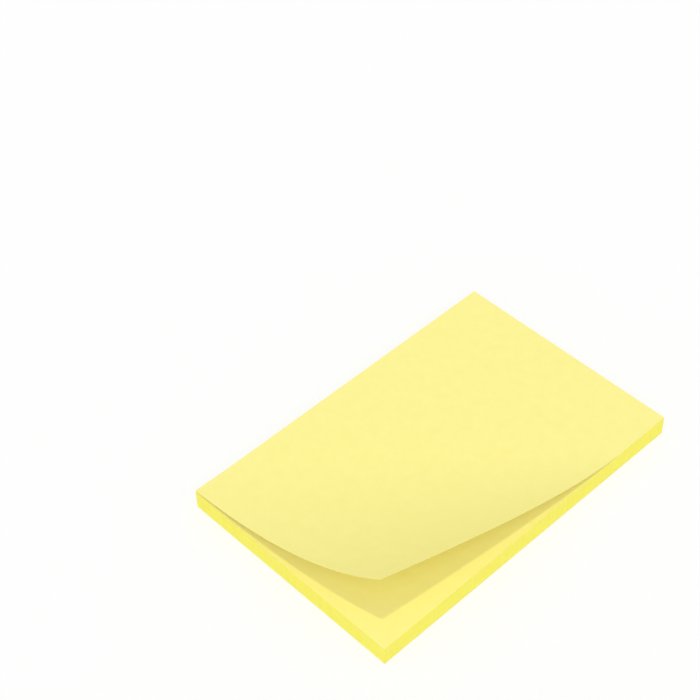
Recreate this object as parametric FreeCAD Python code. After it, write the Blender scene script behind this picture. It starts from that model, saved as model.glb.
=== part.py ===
"""A pad of sticky notes lying on its backing sheet, with the top note peeled up at one corner.

The pad is a block of equal paper sheets. Each note has a band of low-tack glue on its back along one
short edge, and the last one is held to a thin backing sheet. The top note is glued flat at that edge,
and its lower right corner has rolled up off the block.

Frame: origin at the centre of the pad's underside, +X across the short side, +Y along the long side
towards the glued edge, +Z up out of the notes. All sizes are millimetres.
"""
import os

import FreeCAD
import Part
from FreeCAD import Rotation, Vector
from math import atan2, degrees, hypot

# Sheet sizes: the trimmed note, its paper, and how many notes the pad holds
note_width = 98.4
note_length = 149.0
sheet_thickness = 0.085
sheet_count = 100

# Glue: a band of low-tack film along the short edge at +Y, set in a little from the cut edges
glue_band_width = 20.0
glue_film_thickness = 0.02
glue_edge_inset = 0.3

# Backing sheet under the last note
backing_thickness = 0.2

# Curl of the top note. It starts on a straight line across the sheet, from the left edge, a little
# above the free left corner, to the right edge, just below the glue band. In front of that line the
# paper rolls up as part of a cone, whose straight lines all meet at an apex beyond the right edge.
curl_start_above_corner = 20.0
curl_clear_of_glue = 2.5
curl_apex_distance = 195.0
curl_radius_at_left_edge = 150.0

# Spacing of the points that the bent sheet's faces pass through
curl_grid_spacing = 3.0

half_width = note_width / 2
half_length = note_length / 2
block_sheets = sheet_count - 1

# Heights of the layers, from the underside up
backing_top = backing_thickness
block_bottom = backing_top + glue_film_thickness
block_top = block_bottom + block_sheets * sheet_thickness
top_note_bottom = block_top + glue_film_thickness

# The curl's start line in the plan of the flat sheet, and the direction that faces the lifted corner
start_left = Vector(-half_width, -half_length + curl_start_above_corner, 0)
start_right = Vector(half_width, half_length - glue_band_width - curl_clear_of_glue, 0)
along_start = (start_right - start_left).normalize()
apex = start_left + along_start * curl_apex_distance
first_line = along_start * -1
up = Vector(0, 0, 1)
towards_corner = up.cross(first_line)

# A cone rolled on a plane turns about one slanted axis. Its slant is the ratio of the distance from
# the apex to the radius that the paper has there.
roll_ratio = curl_apex_distance / curl_radius_at_left_edge
roll_axis = up + first_line * roll_ratio
roll_rate = roll_axis.Length


def bent_point(x, y, height):
    """Where a point of the flat top note goes when it is curled.

    x, y is the point in the flat sheet's plan and height is how far it lies above the sheet's back.
    Behind the start line the sheet stays flat. In front of it the line from the apex to the point
    turns about the roll axis, by the angle between that line and the start line, times the roll rate.
    """
    from_apex = Vector(x, y, 0) - apex
    angle = atan2(from_apex.dot(towards_corner), from_apex.dot(first_line))
    if angle <= 0:
        return Vector(x, y, top_note_bottom + height)
    roll = Rotation(roll_axis, degrees(angle) * roll_rate)
    distance = hypot(from_apex.x, from_apex.y)
    base = apex + Vector(0, 0, top_note_bottom)
    return base + roll.multVec(first_line) * distance + roll.multVec(up) * height


def spread(low, high, spacing):
    """Evenly spaced values from low to high, no further apart than spacing."""
    steps = max(1, round((high - low) / spacing))
    return [low + (high - low) * i / steps for i in range(steps + 1)]


def bent_face(height):
    """One side of the curled sheet, as a smooth surface through a grid of its points."""
    columns = spread(-half_width, half_width, curl_grid_spacing)
    rows = spread(-half_length, half_length, curl_grid_spacing)
    surface = Part.BSplineSurface()
    surface.interpolate([[bent_point(x, y, height) for y in rows] for x in columns])
    return surface


def cut_edge(back, front, iso, value):
    """The narrow face along one cut edge of the sheet, ruled between its back and its front."""
    back_curve = getattr(back, iso)(value)
    front_curve = getattr(front, iso)(value)
    return Part.makeRuledSurface(back_curve.toShape(), front_curve.toShape())


def make_top_note():
    """The curled top note: two parallel smooth faces, and a narrow face along each cut edge."""
    back = bent_face(0)
    front = bent_face(sheet_thickness)
    u_low, u_high, v_low, v_high = back.bounds()
    faces = [back.toShape(), front.toShape()]
    faces += [cut_edge(back, front, "uIso", u) for u in (u_low, u_high)]
    faces += [cut_edge(back, front, "vIso", v) for v in (v_low, v_high)]
    skin = Part.makeCompound(faces)
    skin.sewShape()
    solid = Part.makeSolid(Part.Shell(skin.Faces))
    if solid.Volume < 0:
        solid.reverse()
    return solid


def flat_sheet(bottom, thickness):
    """A flat rectangular stack of paper with the note's outline."""
    corner = Vector(-half_width, -half_length, bottom)
    return Part.makeBox(note_width, note_length, thickness, corner)


def glue_strip(bottom):
    """A band of glue film along the glued short edge, just inside the cut edges."""
    width = note_width - 2 * glue_edge_inset
    length = glue_band_width - glue_edge_inset
    corner = Vector(-width / 2, half_length - glue_band_width, bottom)
    return Part.makeBox(width, length, glue_film_thickness, corner)


def make_pieces():
    """Every separate piece of the pad, by name, from the bottom up."""
    return {
        "backing_sheet": flat_sheet(0, backing_thickness),
        "backing_glue_strip": glue_strip(backing_top),
        "note_block": flat_sheet(block_bottom, block_sheets * sheet_thickness),
        "top_glue_strip": glue_strip(block_top),
        "top_note": make_top_note(),
    }


def main():
    """Writes each piece to its own STEP file."""
    os.makedirs("parts", exist_ok=True)
    for name, shape in make_pieces().items():
        if not shape.isValid() or not shape.isClosed():
            raise ValueError(name + " is not a closed solid")
        shape.exportStep("parts/" + name + ".step")
        box = shape.BoundBox
        print(name, "volume", round(shape.Volume, 2), "top", round(box.ZMax, 3))


main()
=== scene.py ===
"""A pad of plain yellow sticky notes on its backing sheet, with the top note peeled up at one corner.

Everything is in metres in the row's frame: origin at the centre of the underside, +X across the short
side, +Y towards the glued edge, +Z up.
"""

import math

import bpy
import numpy as np
from mathutils import Matrix, Vector


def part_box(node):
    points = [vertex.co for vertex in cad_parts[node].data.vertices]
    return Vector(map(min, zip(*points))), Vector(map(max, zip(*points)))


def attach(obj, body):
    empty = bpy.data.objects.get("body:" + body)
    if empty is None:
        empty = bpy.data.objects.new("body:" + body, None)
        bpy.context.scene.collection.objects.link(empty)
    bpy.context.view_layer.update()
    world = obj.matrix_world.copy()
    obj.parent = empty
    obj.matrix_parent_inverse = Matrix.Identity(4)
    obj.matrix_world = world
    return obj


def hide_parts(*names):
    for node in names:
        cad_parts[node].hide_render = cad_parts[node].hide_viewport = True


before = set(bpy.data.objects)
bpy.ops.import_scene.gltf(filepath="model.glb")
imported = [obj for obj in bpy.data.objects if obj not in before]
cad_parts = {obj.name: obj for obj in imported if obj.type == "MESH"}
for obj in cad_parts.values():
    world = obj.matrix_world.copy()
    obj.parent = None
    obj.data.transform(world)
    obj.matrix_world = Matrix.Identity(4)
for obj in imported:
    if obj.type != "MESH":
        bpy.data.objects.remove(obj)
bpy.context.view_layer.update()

MM = 0.001

# Sizes in millimetres that the pieces are made from; the layers' heights come from the CAD boxes
NOTE_WIDTH = 98.4
NOTE_LENGTH = 149.0
SHEET_THICKNESS = 0.085
BLOCK_SHEETS = 99

# The top note's curl: part of a cone that starts on a straight line across the sheet
CURL_START_ABOVE_CORNER = 20.0
GLUE_BAND_WIDTH = 20.0
CURL_CLEAR_OF_GLUE = 2.5
CURL_APEX_DISTANCE = 195.0
CURL_RADIUS_AT_LEFT_EDGE = 150.0

# Fineness of the meshes
CURL_GRID = 1.0
FLAT_GRID = 4.0
EDGE_COLUMN_SPACING = 2.5

# The stack's cut sides: the groove between two sheets, and the part of a sheet's edge that slopes to it
GROOVE_DEPTH = 0.022
EDGE_SLOPE_HEIGHT = 0.016
# How far a sheet has slipped in at least, how much that varies, and the slow drift up the stack
SLIP_LEAST, SLIP_SPREAD = 0.012, 0.018
DRIFT = (0.03, 0.018)

half_width, half_length = NOTE_WIDTH / 2, NOTE_LENGTH / 2
block_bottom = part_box("note_block")[0][2] / MM
block_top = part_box("note_block")[1][2] / MM
top_note_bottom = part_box("top_note")[0][2] / MM
random = np.random.default_rng(7)


def srgb(hex_colour):
    """A hex colour as linear red, green and blue with alpha 1, by the sRGB curve."""
    values = np.array([int(hex_colour[i:i + 2], 16) for i in (1, 3, 5)]) / 255
    linear = np.where(values <= 0.04045, values / 12.92, ((values + 0.055) / 1.055) ** 2.4)
    return (*linear.tolist(), 1.0)


def mesh_piece(name, points, faces, material, sheet_places=None):
    """A closed piece from points in millimetres, faces as lists of point numbers, and flat-sheet places.

    sheet_places gives each point's place in the flat sheet in millimetres. It becomes the UV map, so a
    pattern follows the paper where it bends.
    """
    mesh = bpy.data.meshes.new(name)
    mesh.from_pydata((np.asarray(points) * MM).tolist(), [], [list(f) for f in faces])
    if sheet_places is not None:
        uv_map = mesh.uv_layers.new(name="sheet")
        corner_points = np.empty(len(mesh.loops), dtype=np.int32)
        mesh.loops.foreach_get("vertex_index", corner_points)
        scaled = (np.asarray(sheet_places) + [half_width, half_length]) / [NOTE_WIDTH, NOTE_LENGTH]
        uv_map.data.foreach_set("uv", scaled[corner_points].astype(np.float32).ravel())
    mesh.materials.append(material)
    mesh.validate()
    piece = bpy.data.objects.new(name, mesh)
    bpy.context.scene.collection.objects.link(piece)
    return piece


def grid_faces(rows, columns, first=0, flip=False, wrap=False):
    """Quads of a grid of points stored row by row; wrap also joins the last column to the first."""
    row = np.arange(rows - 1)[:, None]
    column = np.arange(columns if wrap else columns - 1)[None, :]
    after = (column + 1) % columns
    corners = [row * columns + column, row * columns + after,
               (row + 1) * columns + after, (row + 1) * columns + column]
    quads = np.stack([np.broadcast_to(c, corners[0].shape) for c in corners], axis=-1).reshape(-1, 4)
    return (quads[:, ::-1] if flip else quads) + first


def bend(places, height):
    """Points of the flat sheet, carried onto the curl, in millimetres.

    In front of the start line the line from the apex to a point turns about a slanted axis, by its
    angle from the start line times the axis's length. Behind the start line the sheet stays flat.
    """
    left = np.array([-half_width, -half_length + CURL_START_ABOVE_CORNER])
    right = np.array([half_width, half_length - GLUE_BAND_WIDTH - CURL_CLEAR_OF_GLUE])
    along = (right - left) / np.linalg.norm(right - left)
    apex = left + along * CURL_APEX_DISTANCE
    first_line = np.array([-along[0], -along[1], 0.0])
    up = np.array([0.0, 0.0, 1.0])
    side = np.cross(up, first_line)
    axis = up + first_line * (CURL_APEX_DISTANCE / CURL_RADIUS_AT_LEFT_EDGE)
    rate = np.linalg.norm(axis)
    axis = axis / rate
    offset = places - apex
    distance = np.hypot(offset[:, 0], offset[:, 1])
    angle = np.arctan2(offset @ side[:2], offset @ first_line[:2])
    turn = np.maximum(angle, 0.0)[:, None] * rate

    def turned(vector):
        """Rodrigues' rotation of one vector about the axis by each point's turn."""
        return (vector * np.cos(turn) + np.cross(axis, vector) * np.sin(turn)
                + axis * (axis @ vector) * (1 - np.cos(turn)))

    base = np.array([*apex, top_note_bottom])
    curled = base + turned(first_line) * distance[:, None] + turned(up) * height
    flat = np.column_stack([places, np.full(len(places), top_note_bottom + height)])
    return np.where(angle[:, None] > 0, curled, flat)


def sheet_piece(name, material, spacing, shape):
    """A sheet as two grids of points, back and front, joined round the rim.

    shape(places, height) gives the points of the sheet's plan at a height above its back.
    """
    columns = round(NOTE_WIDTH / spacing) + 1
    rows = round(NOTE_LENGTH / spacing) + 1
    x, y = np.meshgrid(np.linspace(-half_width, half_width, columns),
                       np.linspace(-half_length, half_length, rows))
    places = np.column_stack([x.ravel(), y.ravel()])
    points = np.vstack([shape(places, 0.0), shape(places, SHEET_THICKNESS)])
    count = rows * columns
    number = np.arange(count).reshape(rows, columns)
    rim = np.concatenate([number[0, :-1], number[:-1, -1], number[-1, :0:-1], number[:0:-1, 0]])
    after = np.roll(rim, -1)
    faces = np.vstack([grid_faces(rows, columns, flip=True), grid_faces(rows, columns, first=count),
                       np.column_stack([rim, after, after + count, rim + count])])
    return mesh_piece(name, points, faces, material, np.vstack([places, places]))


def stack_piece(name, material, bottom, top, sheets):
    """The cut sides of the stacked notes, one sheet above another, closed below and above.

    Each sheet's outline is the note's rectangle, drawn in by its own small slip and by a drift that
    follows a sine up the stack. Between two sheets the outline is drawn in further, as a fine groove.
    """
    across = round(NOTE_WIDTH / EDGE_COLUMN_SPACING)
    along = round(NOTE_LENGTH / EDGE_COLUMN_SPACING)
    x = np.linspace(-half_width, half_width, across + 1)
    y = np.linspace(-half_length, half_length, along + 1)
    outline = np.vstack([
        np.column_stack([x[:-1], np.full(across, -half_length)]),
        np.column_stack([np.full(along, half_width), y[:-1]]),
        np.column_stack([x[:0:-1], np.full(across, half_length)]),
        np.column_stack([np.full(along, -half_width), y[:0:-1]])])
    pitch = (top - bottom) / sheets
    slip = SLIP_LEAST + np.abs(random.normal(0.0, SLIP_SPREAD, (sheets, 2)))
    drift = (1 + np.sin(np.linspace(0.4, 6.1, sheets)))[:, None] * np.array(DRIFT)
    inset = slip + drift
    low = bottom + np.arange(sheets) * pitch
    levels = np.column_stack([low + EDGE_SLOPE_HEIGHT, low + pitch - EDGE_SLOPE_HEIGHT, low + pitch])
    heights = np.concatenate([[bottom], levels.ravel()])
    above = inset[np.minimum(np.arange(sheets) + 1, sheets - 1)]
    rings = np.stack([inset, inset, np.maximum(inset, above) + GROOVE_DEPTH], axis=1).reshape(-1, 2)
    insets = np.vstack([inset[:1] + GROOVE_DEPTH, rings])[:, None, :]
    scale = 1 - insets / np.array([half_width, half_length])
    plan = outline[None, :, :] * scale
    upright = np.broadcast_to(heights[:, None, None], (*plan.shape[:2], 1))
    points = np.concatenate([plan, upright], axis=2).reshape(-1, 3)
    rows, columns = len(heights), len(outline)
    faces = [list(quad) for quad in grid_faces(rows, columns, wrap=True)]
    faces.append(list(range(columns))[::-1])
    faces.append(list(range((rows - 1) * columns, rows * columns)))
    return mesh_piece(name, points, faces, material)


def add(tree, kind, inputs=(), **settings):
    """Adds one shader node, sets its properties, and fills each named input with a value or a link."""
    made = tree.nodes.new("ShaderNode" + kind)
    for name, value in settings.items():
        setattr(made, name, value)
    for key, value in dict(inputs).items():
        if isinstance(value, bpy.types.NodeSocket):
            tree.links.new(value, made.inputs[key])
        else:
            made.inputs[key].default_value = value
    return made


def new_material(name):
    """An empty node material with its output node."""
    material = bpy.data.materials.new(name)
    material.use_nodes = True
    material.node_tree.nodes.clear()
    return material, material.node_tree, material.node_tree.nodes.new("ShaderNodeOutputMaterial")


def two_tones(tree, pattern, low, high, first, second):
    """A colour that goes from first to second as pattern goes from low to high."""
    amount = add(tree, "MapRange", {"Value": pattern, "From Min": low, "From Max": high})
    return add(tree, "Mix", {"Factor": amount.outputs["Result"], "A": srgb(first), "B": srgb(second)},
               data_type="RGBA").outputs[2]


def seen_plainly(tree):
    """1 for the rays that see the background itself, and 0 for the rays that light the object."""
    path = add(tree, "LightPath").outputs
    seen = add(tree, "Math", {0: path["Is Camera Ray"], 1: path["Is Glossy Ray"]}, operation="MAXIMUM")
    return add(tree, "Math", {0: seen.outputs[0], 1: path["Is Transmission Ray"]},
               operation="MAXIMUM").outputs[0]


def paper(name, light_tone, deep_tone, roughness, coordinate, scale):
    """Uncoated paper, as it comes off the machine: cloudy where the fibres lie thicker, with fine fibres
    in the surface, matt and without any sheen. scale turns the coordinate into millimetres.
    """
    material, tree, output = new_material(name)
    place = add(tree, "TexCoord").outputs[coordinate]
    in_mm = add(tree, "Mapping", {"Vector": place, "Scale": scale}).outputs[0]
    # Formation clouds of uncoated paper are 3 to 8 mm across
    cloud = add(tree, "TexNoise", {"Vector": in_mm, "Scale": 1 / 5, "Detail": 4.0, "Roughness": 0.6})
    colour = two_tones(tree, cloud.outputs["Fac"], 0.3, 0.7, deep_tone, light_tone)
    # Fibres are 0.03 mm wide, which is too fine to show, so they are drawn 0.3 mm wide and 2 mm long
    relief = None
    for turn, strength in ((0.5, 0.05), (-0.9, 0.05)):
        laid = add(tree, "Mapping", {"Vector": in_mm, "Rotation": (0.0, 0.0, turn), "Scale": (3.2, 0.5, 1.0)})
        fibres = add(tree, "TexNoise", {"Vector": laid.outputs[0], "Scale": 1.0, "Detail": 3.0})
        inputs = {"Height": fibres.outputs["Fac"], "Strength": strength, "Distance": 0.1 * MM}
        if relief:
            inputs["Normal"] = relief
        relief = add(tree, "Bump", inputs).outputs[0]
    surface = add(tree, "BsdfPrincipled", {"Base Color": colour, "Roughness": roughness, "Normal": relief,
                                           "IOR": 1.45, "Specular IOR Level": 0.25})
    tree.links.new(surface.outputs[0], output.inputs["Surface"])
    return material


def cut_paper_edges():
    """The guillotined edges of the stacked sheets: deeper yellow than a face, because light sinks in
    between the sheets, with a slightly different tone from sheet to sheet and faint upright knife marks.
    """
    material, tree, output = new_material("guillotined_yellow_paper_edges")
    place = add(tree, "TexCoord").outputs["Object"]
    # One noise cell is one sheet high and 12 mm long, so a tone runs along its sheet
    sheet = add(tree, "Mapping", {"Vector": place, "Scale": (1 / (12 * MM), 1 / (12 * MM),
                                                             1 / (SHEET_THICKNESS * MM))})
    tone = add(tree, "TexNoise", {"Vector": sheet.outputs[0], "Scale": 1.0, "Detail": 2.0})
    # Knife marks stand upright, about 1.5 mm apart, a third as strong as the sheets' tones
    mark = add(tree, "Mapping", {"Vector": place, "Scale": (1 / (1.5 * MM), 1 / (1.5 * MM), 1 / (60 * MM))})
    marks = add(tree, "TexNoise", {"Vector": mark.outputs[0], "Scale": 1.0, "Detail": 3.0})
    both = add(tree, "Math", {0: marks.outputs["Fac"], 1: 0.3, 2: tone.outputs["Fac"]},
               operation="MULTIPLY_ADD")
    colour = two_tones(tree, both.outputs[0], 0.45, 0.85, "#FBF05C", "#FFFB80")
    relief = add(tree, "Bump", {"Height": tone.outputs["Fac"], "Strength": 0.1, "Distance": 0.05 * MM})
    surface = add(tree, "BsdfPrincipled", {"Base Color": colour, "Roughness": 0.9,
                                           "Normal": relief.outputs[0], "Specular IOR Level": 0.2})
    tree.links.new(surface.outputs[0], output.inputs["Surface"])
    return material


def glue_film():
    """Repositionable acrylic glue: a clear, slightly cloudy film, grainy with its tiny round beads."""
    material, tree, output = new_material("low_tack_acrylic_glue")
    place = add(tree, "TexCoord").outputs["Object"]
    # The beads are 0.05 mm across and are drawn 0.2 mm apart, so that they show
    beads = add(tree, "TexVoronoi", {"Vector": place, "Scale": 1 / (0.2 * MM)})
    colour = two_tones(tree, beads.outputs["Distance"], 0.0, 0.9, "#FAF3B8", "#F1E58F")
    relief = add(tree, "Bump", {"Height": beads.outputs["Distance"], "Strength": 0.3,
                                "Distance": 0.02 * MM}, invert=True)
    surface = add(tree, "BsdfPrincipled", {"Base Color": colour, "Roughness": 0.4, "IOR": 1.47,
                                           "Normal": relief.outputs[0]})
    tree.links.new(surface.outputs[0], output.inputs["Surface"])
    return material


# Yellow uncoated paper of the notes; its pattern follows the sheet's own UV map, in millimetres
note_paper = paper("yellow_uncoated_note_paper", "#FFF69A", "#FDF394", 0.85, "UV",
                   (NOTE_WIDTH, NOTE_LENGTH, 1.0))
# White uncoated paper of the backing sheet
backing_paper = paper("white_uncoated_backing_paper", "#F6F3E9", "#EFEBDF", 0.9, "Object",
                      (1 / MM, 1 / MM, 1 / MM))
edge_paper = cut_paper_edges()
glue = glue_film()

# The top note, curled; it stands for its coarser CAD solid
peeled_note = sheet_piece("peeled_top_note", note_paper, CURL_GRID, bend)
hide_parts("top_note")

# The note under it, whose face shows below the lifted corner, and the cut sides of the other 98
second_note = sheet_piece(
    "second_note", note_paper, FLAT_GRID,
    lambda places, height: np.column_stack(
        [places, np.full(len(places), block_top - SHEET_THICKNESS + height)]))
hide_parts("note_block")
sides = stack_piece("stacked_notes", edge_paper, block_bottom, block_top - SHEET_THICKNESS, BLOCK_SHEETS - 1)
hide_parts("note_block")

for piece in (peeled_note, second_note, sides):
    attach(piece, "root")
peeled_note.data.shade_smooth()
peeled_note.data.set_sharp_from_angle(angle=math.radians(30))

# The CAD nodes that stay get the look of their paper and glue
for node, material in (("backing_sheet", backing_paper), ("backing_glue_strip", glue),
                       ("top_glue_strip", glue)):
    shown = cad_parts[node]
    shown.data.materials.clear()
    shown.data.materials.append(material)

# Floor: plain and pale; the camera sees it lighter than it is, and still sees the pad's shadow on it
FLOOR_HALF_SIZE = 4
FLOOR_GLOW_SHARE = 0.7
floor_mesh = bpy.data.meshes.new("floor")
floor_corners = [(x * FLOOR_HALF_SIZE, y * FLOOR_HALF_SIZE, 0)
                 for x, y in ((-1, -1), (1, -1), (1, 1), (-1, 1))]
floor_mesh.from_pydata(floor_corners, [], [(0, 1, 2, 3)])
floor = bpy.data.objects.new("floor", floor_mesh)
bpy.context.scene.collection.objects.link(floor)
floor_material, tree, output = new_material("plain_white_studio_floor")
share = add(tree, "Math", {0: seen_plainly(tree), 1: FLOOR_GLOW_SHARE}, operation="MULTIPLY")
board = add(tree, "BsdfDiffuse", {"Color": srgb("#FCFCFC")})
glow = add(tree, "Emission", {"Color": (1.0, 1.0, 1.0, 1.0), "Strength": 1.0})
mixed = add(tree, "MixShader", {0: share.outputs[0], 1: board.outputs[0], 2: glow.outputs[0]})
tree.links.new(mixed.outputs[0], output.inputs["Surface"])
floor_mesh.materials.append(floor_material)

# World: an even dome, slightly cool; camera, glossy and transmission rays see plain white
DOME_LIGHT = (0.68, 0.69, 0.73, 1.0)
world = bpy.data.worlds.new("studio")
world.use_nodes = True
bpy.context.scene.world = world
tree = world.node_tree
tree.nodes.clear()
dome = add(tree, "Mix", {"Factor": seen_plainly(tree), "A": DOME_LIGHT, "B": (1.0, 1.0, 1.0, 1.0)},
           data_type="RGBA")
sky = add(tree, "Background", {"Color": dome.outputs[2], "Strength": 1.0})
tree.links.new(sky.outputs[0], tree.nodes.new("ShaderNodeOutputWorld").inputs["Surface"])

# Two lamps. Each has a direction towards it, the part of full light that it gives a level face, its
# colour, and how wide it looks. The overhead lamp is small, so the lifted corner's shadow has an edge.
# The fill lamp is wide and slightly cool, and lights the sides and the note below the corner.
LAMPS = (("overhead_lamp", (0.12, -0.14, 1.0), 0.20, (1.0, 0.93, 0.45), 2.0),
         ("fill_lamp", (0.54, -0.50, 0.68), 0.17, (0.68, 0.72, 1.0), 40.0))
for name, towards, part, colour, width in LAMPS:
    towards = Vector(towards).normalized()
    lamp_data = bpy.data.lights.new(name, "SUN")
    lamp_data.energy = part * math.pi / towards.z
    lamp_data.color = colour
    lamp_data.angle = math.radians(width)
    lamp = bpy.data.objects.new(name, lamp_data)
    lamp.rotation_euler = towards.to_track_quat("Z", "Y").to_euler()
    bpy.context.scene.collection.objects.link(lamp)

# Camera: the photograph's, in degrees and millimetres
CAMERA_AZIMUTH, CAMERA_ELEVATION, CAMERA_ROLL = 47.434, 45.623, -2.018
CAMERA_DISTANCE, CAMERA_TARGET = 710.537, np.array([-63.765, 18.298, 5.0])
a, e, r = (math.radians(v) for v in (CAMERA_AZIMUTH, CAMERA_ELEVATION, CAMERA_ROLL))
back = np.array([math.sin(a) * math.cos(e), -math.cos(a) * math.cos(e), math.sin(e)])
level = np.cross(-back, [0.0, 0.0, 1.0])
level /= np.linalg.norm(level)
upright = np.cross(level, -back)
right = math.cos(r) * level + math.sin(r) * upright
top = -math.sin(r) * level + math.cos(r) * upright
camera_data = bpy.data.cameras.new("camera")
camera_data.sensor_width, camera_data.lens = 36.0, 92.045
camera_data.clip_start, camera_data.clip_end = 0.01, 20.0
camera = bpy.data.objects.new("camera", camera_data)
camera.matrix_world = (Matrix.Translation(Vector(((CAMERA_TARGET + back * CAMERA_DISTANCE) * MM).tolist()))
                       @ Matrix(np.column_stack([right, top, back]).tolist()).to_4x4())
bpy.context.scene.collection.objects.link(camera)
bpy.context.scene.camera = camera

bpy.context.scene.view_settings.view_transform = "Standard"
